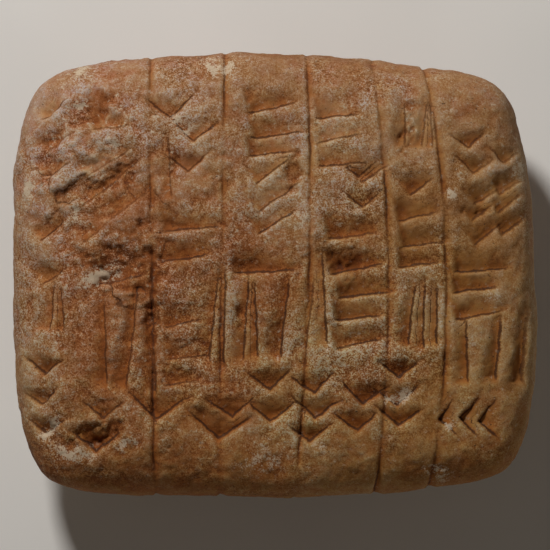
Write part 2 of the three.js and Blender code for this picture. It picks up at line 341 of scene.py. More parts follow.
GROUPS = groups_from(
    (
        (HOOKS, 0.32, -13.8, 3, 2.5, 2.9, 1.0), (BARS, 0.4, -4.8, 2, 1.5, 4.4, 0.9),
        (SLANTS, 0.14, -0.2, 2, 3.9, 3.0, 0.9), (SLANTS, 0.2, 8.6, 3, 2.6, 3.6, 0.7),
    ),
    (
        (HOOKS, 0.16, -15.7, 1, 0.0, 4.2, 0.9), (HOOKS, 0.3, -12.6, 1, 0.0, 3.4, 0.6),
        (BARS, 0.34, -9.4, 2, 1.4, 8.8, 1.1), (BARS, 0.93, -10.2, 1, 0.0, 10.6, 1.3),
        (STEPS, 0.1, 0.3, 1, 0.0, 5.0, 1.0), (SLANTS, -0.15, 3.6, 3, 2.7, 5.0, 0.8),
        (SLANTS, 0.35, 6.0, 2, 2.6, 3.6, 0.6), (STEPS, 0.02, 13.6, 1, 0.0, 3.6, 1.0),
    ),
    (
        (HOOKS, 0.02, -12.6, 1, 0.0, 4.4, 1.1), (HOOKS, 0.96, -14.4, 1, 0.0, 4.6, 1.1),
        (BARS, 0.8, -7.6, 2, 1.2, 8.6, 1.0), (STEPS, 0.12, -8.4, 3, 2.5, 4.0, 0.9),
        (STEPS, 0.1, 2.0, 2, 2.9, 5.2, 1.0), (HOOKS, 0.56, 8.4, 2, 2.6, 3.4, 1.1),
        (BARS, 0.18, 6.4, 1, 0.0, 6.4, 0.7), (HOOKS, 0.3, 13.2, 1, 0.0, 3.8, 1.0),
    ),
    (
        (HOOKS, 0.16, -12.2, 1, 0.0, 3.6, 1.0), (HOOKS, 0.62, -12.6, 2, 2.5, 3.7, 1.1),
        (BARS, 0.36, -7.2, 3, 1.6, 7.6, 1.1), (BARS, 0.86, -7.8, 1, 0.0, 8.0, 0.6),
        (STEPS, 0.1, 1.2, 1, 0.0, 5.8, 1.1), (SLANTS, 0.3, 4.0, 3, 2.1, 4.6, 0.7),
        (STEPS, 0.26, 11.0, 3, 1.9, 4.8, 1.0),
    ),
    (
        (HOOKS, 0.14, -14.6, 3, 2.2, 3.5, 1.1), (HOOKS, 0.72, -13.6, 2, 2.3, 3.7, 1.1),
        (BARS, 0.16, -6.0, 1, 0.0, 9.4, 1.0), (STEPS, 0.3, -5.1, 3, 2.2, 4.8, 1.3),
        (STEPS, 0.2, 1.3, 2, 2.6, 5.0, 1.4), (HOOKS, 0.68, 5.6, 2, 2.3, 2.8, 1.0),
        (SLANTS, 0.55, 8.6, 1, 0.0, 3.0, 1.0), (STEPS, 0.06, 10.4, 3, 1.9, 4.4, 0.8),
    ),
    (
        (HOOKS, 0.24, -13.2, 3, 2.0, 3.4, 1.1), (BARS, 0.46, -6.2, 3, 1.3, 6.2, 1.0),
        (STEPS, 0.14, 1.6, 3, 2.0, 4.2, 1.1), (SLANTS, 0.3, 7.2, 1, 0.0, 3.0, 0.9),
        (BARS, 0.52, 10.6, 3, 1.1, 4.6, 1.0),
    ),
    (
        (SIDE_HOOKS, 0.2, -12.3, 3, 1.6, 2.9, 1.1), (BARS, 0.52, -9.2, 3, 2.3, 6.6, 1.1),
        (STEPS, 0.04, -2.6, 3, 2.0, 4.8, 1.0), (SLANTS, 0.24, 3.4, 3, 1.6, 3.2, 1.0),
        (SLANTS, 0.56, 4.2, 3, 1.6, 3.2, 1.0), (HOOKS, 0.36, 8.4, 2, 2.2, 2.7, 1.0),
        (HOOKS, 0.72, 9.2, 1, 0.0, 2.6, 0.9),
    ),
)


@dataclass(frozen=True)
class Spot:
    """A round or long spot on the written face, where a hollow, a crust or a stain is strongest."""

    x: float
    y: float
    radius: float
    strength: float
    stretch: float = 1.0
    turn: float = 0.0

    def weight(self, x: Array, y: Array) -> Array:
        """Bell curve around the spot, stretched along turn."""
        cosine, sine = math.cos(math.radians(self.turn)), math.sin(math.radians(self.turn))
        along = ((x - self.x) * cosine + (y - self.y) * sine) / (self.radius * self.stretch)
        aside = (-(x - self.x) * sine + (y - self.y) * cosine) / self.radius
        return self.strength * np.exp(-(along**2) - aside**2)


def spots_from(*rows: tuple[float, ...]) -> tuple[Spot, ...]:
    """Spots from rows of x, y, radius and strength, and where they are long, stretch and turn."""
    return tuple(Spot(*row) for row in rows)


HOLLOWS = spots_from(
    (-15.7, 14.0, 1.6, 0.5, 1.5, 20), (-19.4, 10.4, 1.5, 0.32, 1.6, 60),
    (-12.6, 0.3, 2.0, 0.6, 1.6, 0), (-15.0, -13.8, 2.0, 0.4, 1.7, 8),
    (-14.2, 7.4, 1.8, 0.35, 1.9, 35), (6.2, 0.8, 1.5, 0.32, 1.6, -20),
    (-10.4, -4.6, 0.8, 0.35, 5.0, 88), (-2.9, -3.2, 0.8, 0.3, 3.6, 88),
    (11.2, 12.6, 1.1, 0.3, 2.4, 86), (17.0, 5.6, 2.2, 0.12, 1.4, 0), (1.4, 8.6, 1.5, 0.3, 1.5, 60),
    (-8.6, 9.5, 0.9, 0.3, 3.0, 84),
)

WORN = spots_from(
    (-13.5, 3.0, 7.0, 0.6, 1.5, 90), (-16.5, 12.0, 4.0, 0.35), (-0.5, 12.5, 4.5, 0.15, 1.4, 0),
    (6.5, 3.0, 4.0, 0.35), (-8.0, -9.0, 4.0, 0.35), (18.0, 8.5, 4.5, 0.6, 1.5, 90),
    (11.0, 11.0, 4.0, 0.4, 1.5, 90),
)

FLAKED = spots_from(
    (-16.0, 8.5, 4.5, 0.7, 1.4, 60), (-12.5, 0.0, 4.0, 0.75, 1.5, 90), (-16.0, 14.0, 2.6, 0.5),
    (-5.0, 8.0, 2.6, 0.35), (6.4, 1.4, 2.4, 0.45), (-15.0, -13.5, 2.8, 0.4, 1.4, 0),
    (-7.5, -9.0, 2.6, 0.4),
)

GRITS = spots_from(
    (-2.0, -1.0, 9.0, 0.25, 1.3, 90), (-17.5, -3.0, 6.0, 0.2, 1.6, 90), (-18.0, -13.5, 3.5, 0.25),
    (-8.0, -3.0, 3.0, 0.3, 1.6, 90), (0.5, -4.5, 3.0, 0.35, 1.6, 0), (7.6, 5.8, 2.4, 0.4),
    (11.8, 1.9, 2.2, 0.3), (6.4, -7.6, 2.4, 0.7, 1.7, 10), (12.3, -6.4, 2.0, 0.4, 1.3, 0),
    (-8.0, 13.0, 3.5, 0.2, 1.5, 0), (-19.5, 10.5, 1.8, 0.6, 1.5, 60),
    (18.0, 13.5, 5.0, -0.45, 1.4, -40), (20.0, -3.0, 4.0, -0.4, 2.6, 90),
    (-6.0, -18.0, 3.0, -0.3, 3.0, 0), (12.0, -17.5, 3.0, -0.25, 2.5, 0), (-21.0, 16.0, 3.0, -0.3),
)

# Dust spots, paler, and darker where negative; the bottom-edge and top-rim ones are painted shade.
DUST_AND_RIM_SHADE = spots_from(
    (-18.5, 13.0, 5.5, 0.9, 1.4, 60), (-20.5, 15.0, 2.0, 0.4), (-7.0, 15.5, 3.0, 0.3, 1.8, 0),
    (-20.5, 7.5, 2.4, 0.7, 1.5, 90), (-16.0, 9.6, 2.4, 0.5), (-8.0, 9.5, 2.6, 0.6, 1.5, 90),
    (0.5, 6.0, 2.6, 1.0, 1.6, 70), (5.0, 13.2, 2.6, 1.0, 1.3, 20), (12.0, 13.0, 2.4, 0.8, 1.4, 90),
    (8.5, 9.6, 1.8, 0.8), (18.5, 15.5, 2.0, 0.6, 1.8, -40), (20.8, 9.5, 1.8, 1.0, 1.5, 90),
    (-21.5, 0.0, 1.6, 0.4, 4.0, 90), (-20.5, -5.5, 2.0, 0.6), (-20.5, -11.5, 2.2, 0.7, 1.5, 90),
    (5.0, -6.2, 2.2, 0.6, 1.5, 0), (12.0, -2.4, 2.2, 0.7, 1.5, 90), (-4.0, -3.4, 1.8, 0.9, 1.6, 90),
    (0.3, -13.5, 2.0, 0.7, 1.5, 0), (4.0, -17.0, 2.0, 0.3), (20.5, -2.0, 1.8, 0.4, 1.5, 90),
    (-9.0, -1.8, 3.0, -1.2, 1.4, 0), (0.2, -1.8, 2.2, -1.3, 1.2, 90), (-16.5, -5.0, 2.2, -0.6),
    (-15.5, 2.0, 2.0, -0.5), (-12.5, 6.0, 2.0, -0.7), (-4.0, 2.4, 2.0, -0.6),
    (-12.5, -9.5, 3.4, -0.7, 1.8, 0), (-3.6, -9.6, 2.4, -1.4, 1.6, 0),
    (10.0, -9.6, 2.8, -0.9, 1.6, 0), (8.0, 2.6, 2.6, -1.3, 1.2, 60), (12.5, 5.6, 2.2, -1.2),
    (16.5, 2.2, 3.0, -1.3, 1.3, 0), (-21.0, -17.0, 3.4, -2.4), (-16.0, -17.4, 2.6, -1.0, 1.6, 0),
    # Painted shade: a dark strip along the top rim. A pale strip runs along the right rim.
    (0.0, 19.4, 1.2, -1.2, 14.0, 0), (22.2, -1.0, 1.2, 1.0, 12.0, 90),
    (-5.0, -17.4, 3.0, -0.9, 2.6, 0), (15.5, -17.0, 2.6, -1.1, 1.6, 0),
)

CRUSTS = spots_from(
    (-13.9, 11.3, 0.75, 1.0), (-16.6, 14.5, 0.5, 0.9, 1.4, 0), (-16.8, 17.4, 0.6, 0.9, 1.6, 50),
    (-13.4, 15.1, 0.5, 0.7), (-5.4, 17.6, 0.7, 0.8, 1.7, -50), (-3.8, 17.4, 0.5, 0.7, 1.8, 60),
    (-7.9, 12.6, 0.7, 0.8, 1.8, -40), (-21.0, 7.3, 0.6, 0.8, 1.8, 80),
    (-16.9, 5.4, 0.5, 0.7, 2.2, 80), (-14.9, -0.2, 0.7, 1.1, 2.4, 22),
    (-17.2, -15.3, 0.7, 0.9, 2.4, -10), (-19.3, -13.2, 0.6, 1.0, 2.2, 55),
    (-12.6, -14.4, 0.6, 0.7, 2.0, 15), (14.8, 6.7, 0.7, 0.8), (20.6, 8.8, 0.6, 0.9, 1.6, 60),
    (10.8, -10.2, 0.7, 0.9), (9.6, -10.7, 0.5, 0.7), (14.7, -12.7, 0.5, 0.8),
    (13.7, -16.9, 0.8, 0.8, 1.5, -20), (3.7, -14.7, 0.6, 0.7), (2.0, 4.6, 0.6, 0.7, 2.6, 45),
    (-1.2, -15.8, 1.2, 0.5, 1.8, 5), (18.4, -1.9, 0.5, 0.6, 1.6, 20), (5.5, 4.2, 0.5, 0.5),
)

RUSTS = spots_from(
    (-12.5, 0.0, 6.5, 0.85, 1.5, 90), (-12.0, -2.5, 3.4, 0.8, 2.0, 85), (-16.0, 1.5, 3.0, 0.45),
    (-14.0, -8.5, 3.6, 0.4, 1.4, 0), (-3.6, 2.4, 2.4, 0.8), (-0.5, -2.4, 2.8, 0.75, 1.6, 90),
    (-3.5, -8.5, 3.0, 0.45, 1.5, 90), (-8.5, -16.0, 4.5, 0.6, 2.2, 0), (-20.0, -17.0, 3.0, 0.6),
    (-14.5, 15.2, 2.0, 0.7), (-19.4, 9.8, 1.8, 0.8, 1.6, 80), (6.0, 15.4, 2.4, 0.35, 1.5, -40),
    (11.4, 14.6, 1.3, 0.4, 2.0, 90), (16.0, 14.2, 1.3, 0.6, 2.0, 12),
    (1.0, 12.8, 1.2, 0.5, 1.6, 60), (6.4, 3.0, 2.2, 0.45, 1.4, 90), (7.4, -12.4, 3.0, 0.5),
    (-4.2, -10.2, 1.8, 0.5), (8.0, -8.5, 2.6, 0.4, 1.4, 0), (18.0, -13.0, 3.0, 0.4, 1.5, 60),
    (15.5, 4.5, 4.5, -0.6, 1.2, 0), (-19.5, 17.0, 3.0, -0.4), (15.0, 14.0, 6.0, -0.25, 1.5, 0),
)


@dataclass
class CreaseField:
    """For each cell, how far it lies to one side of the nearest crease, and how dark its painted
    shade line is.
    """

    offset: Array
    strength: Array
    reach: float = 0.3

    @classmethod
    def empty(cls, shape: tuple[int, ...]) -> "CreaseField":
        """A field without any crease."""
        return cls(np.full(shape, 1.0), np.zeros(shape))

    def lay(self, window: Window, offset: Array, strength: Array) -> None:
        """Adds a crease, where it is nearer or more marked than what is already there.

        Args:
            window: the cells it can touch.
            offset: signed distance across the crease, in millimetres.
            strength: how marked it is, from 0 to 1.
        """
        strength = strength * ease(np.abs(offset), 0.9, 0.5)
        weight = strength * np.exp(-((offset / self.reach) ** 2))
        known = self.strength[window] * np.exp(-((self.offset[window] / self.reach) ** 2))
        nearer = weight > known
        self.offset[window] = np.where(nearer, offset, self.offset[window])
        self.strength[window] = np.where(nearer, strength, self.strength[window])


class ReliefMap:
    """Depth of the strokes below the smooth written face, on a regular grid of cells."""

    def __init__(self, step: float, half_length: float, half_width: float) -> None:
        """Lays out the grid.

        Args:
            step: size of a cell in millimetres.
            half_length: reach of the grid each way along X.
            half_width: reach of the grid each way along Y.
        """
        self.step = step
        self.xs = np.arange(-half_length, half_length + step, step)
        self.ys = np.arange(-half_width, half_width + step, step)
        self.x, self.y = np.meshgrid(self.xs, self.ys)
        self.depth = np.zeros_like(self.x)
        self.crease = CreaseField.empty(self.x.shape)

    def press(self, stroke: Stroke, sway_x: Array, sway_y: Array) -> None:
        """Presses one stroke into the map, keeping what is already deeper.

        Args:
            stroke: the stroke to press.
            sway_x: small shifts of each cell along X, which make the edges uneven.
            sway_y: the same along Y.
        """
        margin = stroke.reach + 2.0
        rows = slice(*np.searchsorted(self.ys, [stroke.y - margin, stroke.y + margin]))
        columns = slice(*np.searchsorted(self.xs, [stroke.x - margin, stroke.x + margin]))
        window = (rows, columns)
        dx = self.x[window] + sway_x[window] - stroke.x
        dy = self.y[window] + sway_y[window] - stroke.y
        cosine, sine = math.cos(stroke.turn), math.sin(stroke.turn)
        along = dx * cosine + dy * sine
        aside = -dx * sine + dy * cosine
        shape = self.hook if stroke.form.opening else self.wedge
        depth, offset, strength = shape(stroke, along, aside)
        self.depth[window] = np.maximum(self.depth[window], depth)
        self.crease.lay(window, offset, strength * min(1.0, stroke.depth / 0.45))

    @staticmethod
    def wedge(stroke: Stroke, along: Array, aside: Array) -> tuple[Array, Array, Array]:
        """A three-sided head, and a V-shaped trough whose depth falls as the root of what is left.

        Args:
            stroke: the stroke, whose form gives the head's width and the trough's share of it.
            along: distance from the head along the stroke.
            aside: distance to the side of the stroke.

        Returns:
            The depth of the print, the distance across its crease, and how marked the crease is.
        """
        width = stroke.form.width
        half = width / 2.0
        shift = aside + stroke.form.skew * half
        skew = stroke.form.skew
        aside = np.where(shift > 0.0, shift / (1.0 + skew), -shift / (1.0 - skew))
        rear = along / (0.3 * width)
        flank = (width - along - aside * width / half) / (0.7 * width)
        head = stroke.depth * np.clip(np.minimum(rear, flank), 0.0, 1.0)
        share = (along - 0.3 * width) / (stroke.reach - 0.3 * width)
        trough_half = stroke.form.tail * half * (1.0 - 0.5 * np.clip(share, 0.0, 1.0))
        fall = np.sqrt(np.clip(1.0 - share, 0.0, 1.0)) * ease(share, -0.16, 0.0)
        trough = 0.85 * stroke.depth * fall * np.maximum(0.0, 1.0 - aside / trough_half)
        marked = ease(along, 0.0, 0.4) * ease(along, stroke.reach, 0.75 * stroke.reach)
        return np.maximum(head, trough), shift, marked

    @staticmethod
    def hook(stroke: Stroke, along: Array, aside: Array) -> tuple[Array, Array, Array]:
        """Two steep walls along the arms, and a floor that slopes up from the corner between them.

        The walls are planes through the arms. The floor is the deepest point's depth times the
        share of the way left to the arms' ends, in the power 1.2, so that its far edge fades out.

        Args:
            stroke: the stroke, whose form gives the angle between the arms.
            along: distance from the corner along the middle of the opening.
            aside: distance from that middle line.

        Returns:
            The depth of the print, the distance across its crease, and how marked the crease is.
        """
        spread = math.radians(stroke.form.opening / 2.0)
        deepest = 0.075 * stroke.reach
        sine, cosine = math.sin(spread), math.cos(spread)
        wall = (along * sine - np.abs(aside) * cosine) / (deepest * sine)
        mouth = stroke.reach * cosine
        floor = np.clip((mouth - along) / (mouth - deepest), 0.0, 1.0) ** 1.2
        offset = (wall - 1.0) * deepest * sine
        depth = stroke.depth * np.clip(np.minimum(wall, floor), 0.0, 1.0)
        return depth, offset, ease(floor, 0.0, 0.35)

    def sample(self, radius: float, x: Array, y: Array) -> Array:
        """Reads the depth at each place, blurred over a radius in millimetres."""
        return self.read(blurred(self.depth, radius / self.step), x, y)

    def read(self, values: Array, x: Array, y: Array) -> Array:
        """Reads values between the map's cells, weighting the four nearest.

        Args:
            values: one value for each cell.
            x: places along X.
            y: places along Y.

        Returns:
            The value at each place.
        """
        column = np.clip((x - self.xs[0]) / self.step, 0, len(self.xs) - 1.001)
        row = np.clip((y - self.ys[0]) / self.step, 0, len(self.ys) - 1.001)
        i, j = column.astype(int), row.astype(int)
        u, v = column - i, row - j
        low = values[j, i] * (1.0 - u) + values[j, i + 1] * u
        high = values[j + 1, i] * (1.0 - u) + values[j + 1, i + 1] * u
        return low * (1.0 - v) + high * v


@dataclass
class Inscription:
    """Rows of stylus strokes, laid out by groups and pressed into a relief map."""

    noise: LatticeNoise
    step: float = 0.08
    half_length: float = 23.5
    half_width: float = 20.5
    unevenness: float = 0.1
    strokes: list[Stroke] = field(default_factory=list)

    @staticmethod
    def sway(number: int, trait: int) -> float:
        """The unevenness of a hand, from -1 to 1: no two strokes of a group are quite alike."""
        return math.sin(2.4 * number + 1.9 * trait)

    def lay_out(self) -> None:
        """Places every stroke of every group between the borders of its row."""
        for group_number, group in enumerate(GROUPS):
            form = FORMS[group.kind]
            for n in range(group.count):
                number = 5 * group_number + n
                along = group.along + (0.0 if form.abreast else n * group.pitch)
                left = BORDERS[group.row].at(along)
                right = BORDERS[group.row + 1].at(along)
                shift = (n - (group.count - 1) / 2.0) * group.pitch if form.abreast else 0.0
                middle = left + (right - left) * group.across
                self.strokes.append(
                    Stroke(
                        form=form,
                        x=middle + shift + 0.15 * self.sway(number, 1),
                        y=along + 0.2 * self.sway(number, 2),
                        turn=math.radians(form.turn + 5.0 * self.sway(number, 3)),
                        reach=group.reach * (1.0 + 0.1 * self.sway(number, 4)),
                        depth=form.depth * group.fresh * (1.0 + 0.12 * self.sway(number, 5)),
                    )
                )

    def press(self) -> ReliefMap:
        """Presses the strokes into a new map.

        Returns:
            The map with its depth filled in.
        """
        relief = ReliefMap(self.step, self.half_length, self.half_width)
        places = np.stack([relief.x, relief.y, np.zeros_like(relief.x)], axis=-1)
        sway_x = self.unevenness * self.noise.layered(places, 1.3, 3, 0.6)
        sway_y = self.unevenness * self.noise.layered(places + 11.0, 1.3, 3, 0.6)
        for stroke in self.strokes:
            relief.press(stroke, sway_x, sway_y)
        return relief


@dataclass(frozen=True)
class Layers:
    """One use of layered noise: the first bumps' width in mm, their count, gain and shift."""

    wavelength: float
    count: int
    gain: float
    shift: float


LAYERS = {
    "uneven": Layers(6.0, 2, 0.6, 0.0),
    "lumps": Layers(2.2, 3, 0.6, 2.0),
    "grains": Layers(0.75, 2, 0.7, 4.0),
    "pits": Layers(0.6, 2, 0.8, 8.0),
    "drift": Layers(4.0, 2, 0.6, 9.0),
    "scales": Layers(3.6, 3, 0.5, 15.0),
    "dust": Layers(4.5, 2, 0.6, 21.0),
    "broken": Layers(1.8, 3, 0.6, 31.0),
}


@dataclass(frozen=True)
class Wear:
    """Heights in mm that wear has left everywhere, and the rise of each where the clay flaked.

    The gritty heights are added in gritty zones, and rim_level is the share of the crags and
    lumps that is left at the rim of the face.
    """

    crags: float = 0.15
    crags_flaked: float = 0.6
    sinking: float = 0.9
    ledge: float = 0.04
    ledge_flaked: float = 0.26
    ledge_top: float = 0.2
    unevenness: float = 0.18
    lumps: float = 0.1
    grains: float = 0.01
    grains_gritty: float = 0.05
    pits: float = 0.02
    pits_gritty: float = 0.14
    pit_threshold: float = 0.25
    scoop: float = 0.4
    dish: float = 0.3
    rim_level: float = 0.45


@dataclass(frozen=True)
class Prints:
    """What the strokes leave on the surface: their depth, the clay sunk round them, and hollows."""

    strokes: Array
    sunk: Array
    hollows: Array


@dataclass
class TabletSurface:
    """The whole outer surface, as a fine grid for the face and a coarser one for the back."""

    cushion: Cushion
    noise: LatticeNoise
    wear: Wear = Wear()
    cells_across: int = 300
    cells_along: int = 256
    ruling_depth: float = 0.34
    ruling_steep: float = 0.15
    ruling_gentle: float = 0.45
    rim_fade: tuple[float, float] = (0.992, 0.93)
    near_cells: tuple[float, float] = (1.0, 2.0)
    far_cells: tuple[float, float] = (3.5, 7.0)
    crisp_blur: float = 0.05
    worn_blur: float = 0.2
    sunk_blur: float = 0.4
    worn_depth: float = 0.75
    crease_wear: float = 0.8

    def ring_share(self, ring: Array) -> Array:
        """Share of the way out of a grid ring: even over the face, crowded on the edge's wall."""
        inner = 0.9 * ring / 0.84
        outer = 1.0 - 0.1 * (np.maximum(1.0 - ring, 0.0) / 0.16) ** 2.1
        return np.where(ring < 0.84, inner, outer)

    def smooth_grid(self, is_face: bool) -> tuple[Array, Array]:
        """The smooth form on a square grid that is drawn in to the outline ring by ring.

        Args:
            is_face: the written face, or else the back at half as many cells each way.

        Returns:
            The grid's points in millimetres, and their share of the way out.
        """
        divide = 1 if is_face else 2
        u = np.linspace(-1.0, 1.0, self.cells_across // divide + 1)
        v = np.linspace(-1.0, 1.0, self.cells_along // divide + 1)
        u, v = np.meshgrid(u, v)
        share = self.ring_share(np.maximum(np.abs(u), np.abs(v)))
        if not is_face:
            share = share * 0.999
        angle = np.arctan2(v * self.cushion.half_width, u * self.cushion.half_length)
        radius = share * self.cushion.outline.radius(angle)
        if is_face:
            height = self.cushion.face_height(share, angle)
        else:
            height = self.cushion.back_height(share)
        return np.stack([radius * np.cos(angle), radius * np.sin(angle), height], axis=-1), share

    @staticmethod
    def normals(points: Array, is_face: bool) -> Array:
        """Outward directions, from the cross product of the grid's two directions."""
        across = np.cross(np.gradient(points, axis=1), np.gradient(points, axis=0))
        across /= np.maximum(np.linalg.norm(across, axis=-1, keepdims=True), 1e-9)
        return across if is_face else -across

    def rulings(self, points: Array, share: Array, is_face: bool, creases: CreaseField) -> Array:
        """Depth of the ruled lines: half bell curves, narrow on the left and wide on the right.

        Args:
            points: places on the smooth form.
            share: their share of the way out.
            is_face: on the back the lines die out towards the rest spot.
            creases: the field that the lines' creases are added to.

        Returns:
            The depth at each place.
        """
        sway = 0.09 * self.noise.layered(points, 2.2, 2, 0.5)
        worn = np.clip(0.6 + 0.9 * self.noise.at(points + 5.0, 5.5), 0.15, 1.1)
        worn = worn * (1.0 if is_face else 0.7 * ease(share, 0.45, 0.7))
        depth = np.zeros(points.shape[:-1])
        for border in BORDERS:
            if border.ruled:
                aside = points[..., 0] + sway - border.at(points[..., 1])
                reach = np.where(aside < 0.0, self.ruling_steep, self.ruling_gentle)
                depth = np.maximum(depth, self.ruling_depth * np.exp(-((aside / reach) ** 2)))
                creases.lay(..., aside, 0.8 * np.minimum(worn, 1.0) ** 1.5)
        return depth * worn

    def layer(self, name: str, points: Array) -> Array:
        """The layered noise of that name at points."""
        look = LAYERS[name]
        return self.noise.layered(points + look.shift, look.wavelength, look.count, look.gain)

    def cells(self, values: Array, sizes: tuple[float, float], is_face: bool) -> Array:
        """Values blurred by the first of two sizes in cells on the back, the second on the face."""
        return blurred(values, sizes[is_face])

    def written(
        self, relief: ReliefMap, points: Array, share: Array, creases: CreaseField
    ) -> Prints:
        """Reads the strokes off the map at each point of the face, and lays their creases.

        Args:
            relief: the pressed strokes.
            points: places on the smooth face.
            share: their share of the way out. The strokes fade at the rim.
            creases: the field that the strokes' creases are added to.

        Returns:
            What the strokes leave at each place.
        """
        x, y = points[..., 0], points[..., 1]
        fade = ease(share, *self.rim_fade)
        worn_zones = self.spots(WORN, points, True)
        abrasion = np.clip(worn_zones + 0.25 * self.noise.at(points, 4.0), 0.0, 1.0)
        marked = fade * relief.read(relief.crease.strength, x, y)
        marked = marked * (1.0 - self.crease_wear * abrasion)
        creases.lay(..., relief.read(relief.crease.offset, x, y), marked)
        crisp = fade * relief.sample(self.crisp_blur, x, y)
        worn = fade * relief.sample(self.worn_blur, x, y)
        strokes = crisp * (1.0 - abrasion) + self.worn_depth * worn * abrasion
        sunk = fade * relief.sample(self.sunk_blur, x, y)
        return Prints(strokes, sunk, fade * self.spots(HOLLOWS, points, True))

    def carve(self, relief: ReliefMap, is_face: bool) -> tuple[Array, dict[str, Array]]:
        """Moves the smooth form in along its normals by everything that was cut or worn away.

        Args:
            relief: the pressed strokes.
            is_face: the written face, or else the back.

        Returns:
            The carved points, and the fields that the finish reads at each of them.
        """
        points, share = self.smooth_grid(is_face)
        creases = CreaseField.empty(share.shape)
        if is_face:
            prints = self.written(relief, points, share, creases)
        else:
            prints = Prints(*np.zeros((3, *share.shape)))
        cut = prints.strokes + self.rulings(points, share, is_face, creases)
        wear = self.wear
        flaked = np.clip(self.spots(FLAKED, points, is_face), 0.0, 1.0)
        level = wear.rim_level + (1.0 - wear.rim_level) * ease(share, 0.99, 0.9) if is_face else 1.0
        gritty = 0.25 + self.spots(GRITS, points, is_face) + 0.4 * self.layer("drift", points)
        gritty = np.clip(gritty - 0.6 * cut, 0.0, 1.0)
        scales = self.layer("scales", points)
        patchy = np.clip(0.3 + 2.0 * self.noise.at(points + 37.0, 3.0), 0.0, 1.0)
        scarp = 0.9 * patchy * ease(flaked, 0.05, 0.5)
        creases.lay(..., 2.4 * (scales - wear.ledge_top), scarp)
        broken = 2.0 * prints.hollows + 0.35 * self.layer("broken", points)
        scooped = wear.scoop * ease(broken, 0.35, 0.8) + wear.dish * prints.hollows
        crags = self.noise.billowed(points + 27.0, 2.8, 4, 0.55)
        pits = np.maximum(0.0, self.layer("pits", points) - wear.pit_threshold)
        inward = (
            cut
            - (wear.crags * level + wear.crags_flaked * flaked) * crags
            + wear.sinking * prints.sunk
            + scooped
            + (wear.ledge + wear.ledge_flaked * flaked) * ease(scales, 0.02, wear.ledge_top)
            - wear.unevenness * self.layer("uneven", points)
            - wear.lumps * level * self.layer("lumps", points)
            - (wear.grains + wear.grains_gritty * gritty) * self.layer("grains", points)
            + (wear.pits + wear.pits_gritty * gritty) * pits
        )
        resting = 1.0 if is_face else ease(share, 0.4, 0.6)
        carved = points - self.normals(points, is_face) * (inward * resting)[..., None]
        dust_and_rim_shade = self.spots(DUST_AND_RIM_SHADE, points, is_face) + 0.35 * self.layer("dust", points)
        fields = {
            "cut": np.clip(cut / 0.5, 0.0, 1.0),
            "across": creases.offset,
            "crease": creases.strength,
            "hollow": np.clip(scooped / wear.scoop, 0.0, 1.0),
            "raised": self.raised(inward, inward - cut, is_face),
            "grit": gritty,
            # Dust, with the painted shade along the top rim and the bottom edge.
            "dust_and_rim_shade": np.clip(0.4 + 0.6 * dust_and_rim_shade - 0.4 * cut, 0.0, 1.0),
            "crust": np.clip(self.spots(CRUSTS, points, is_face), 0.0, 1.0),
            "rust": np.clip(self.spots(RUSTS, points, is_face), -0.5, 1.0),
            # Painted shade tint: warmer towards the bottom and the right, the side away from the
            # key lamp.
            "shaded_side_warmth": np.clip(0.5 + 0.008 * points[..., 0] - 0.02 * points[..., 1], 0.0, 1.0),
        }
        return carved, fields

    def raised(self, inward: Array, rough: Array, is_face: bool) -> Array:
        """How far each point stands proud of its surroundings: 0.5 where it is level with them.

        Each term is the difference of two blurs of the depth, fine against the point itself and
        wide against fine. The wide one counts more where it does not come from what was cut.

        Args:
            inward: the depth of everything cut or worn away.
            rough: the same without what was cut.
            is_face: the written face, or else the back.

        Returns:
            Values from 0 to 1.
        """
        near = self.cells(inward, self.near_cells, is_face)
        far = self.cells(inward, self.far_cells, is_face)
        rough_near = self.cells(rough, self.near_cells, is_face)
        rough_far = self.cells(rough, self.far_cells, is_face)
        fine_rise = 4.5 * (near - inward)
        wide_rise = 0.3 * (far - near) + 0.9 * (rough_far - rough_near)
        return np.clip(0.5 + fine_rise + wide_rise, 0.0, 1.0)

    @staticmethod
    def spots(spots: tuple[Spot, ...], points: Array, is_face: bool) -> Array:
        """Sum of the spots' weights, laid out the same way but turned end for end on the back."""
        turn = 1.0 if is_face else -1.0
        return sum(spot.weight(points[..., 0], turn * points[..., 1]) for spot in spots)

    @staticmethod
    def border_ring(index: Array) -> Array:
        """The grid's outermost points once round, counter-clockwise from its first corner."""
        return np.concatenate([index[0, :-1], index[:-1, -1], index[-1, :0:-1], index[:0:-1, 0]])

    def build(self, relief: ReliefMap, middle: tuple[float, float]) -> bpy.types.Object:
        """Joins the face and the back by a strip that has two fine steps for each coarse one.

        Args:
            relief: the pressed strokes.
            middle: the place in this surface's own plan that goes to the frame's origin.

        Returns:
            The finished object, in metres.
        """
        face_points, face_fields = self.carve(relief, True)
        back_points, back_fields = self.carve(relief, False)
        face_index = np.arange(face_points[..., 0].size).reshape(face_points.shape[:2])
        back_index = np.arange(back_points[..., 0].size).reshape(back_points.shape[:2])
        back_index = back_index + face_index.size
        points = np.concatenate([face_points.reshape(-1, 3), back_points.reshape(-1, 3)])
        points[:, :2] -= middle
        points[:, 2] = np.maximum(points[:, 2], 0.0)
        faces = self.quads(face_index, False).tolist() + self.quads(back_index, True).tolist()
        fine, coarse = self.border_ring(face_index), self.border_ring(back_index)
        first, second, third = fine[0::2], fine[1::2], np.roll(fine, -2)[0::2]
        here, following = coarse, np.roll(coarse, -1)
        strip = [(first, here, second), (here, following, second), (following, third, second)]
        for triangle in strip:
            faces += np.stack(triangle, axis=-1).tolist()
        mesh = bpy.data.meshes.new("tablet_surface")
        mesh.from_pydata((points * MM).tolist(), [], faces)
        mesh.polygons.foreach_set("use_smooth", np.ones(len(faces), dtype=bool))
        for name, values in face_fields.items():
            joined = np.concatenate([values.ravel(), back_fields[name].ravel()]).astype(np.float32)
            mesh.attributes.new(name, "FLOAT", "POINT").data.foreach_set("value", joined)
        mesh.update()
        tablet = bpy.data.objects.new("tablet_surface", mesh)
        bpy.context.scene.collection.objects.link(tablet)
        return tablet

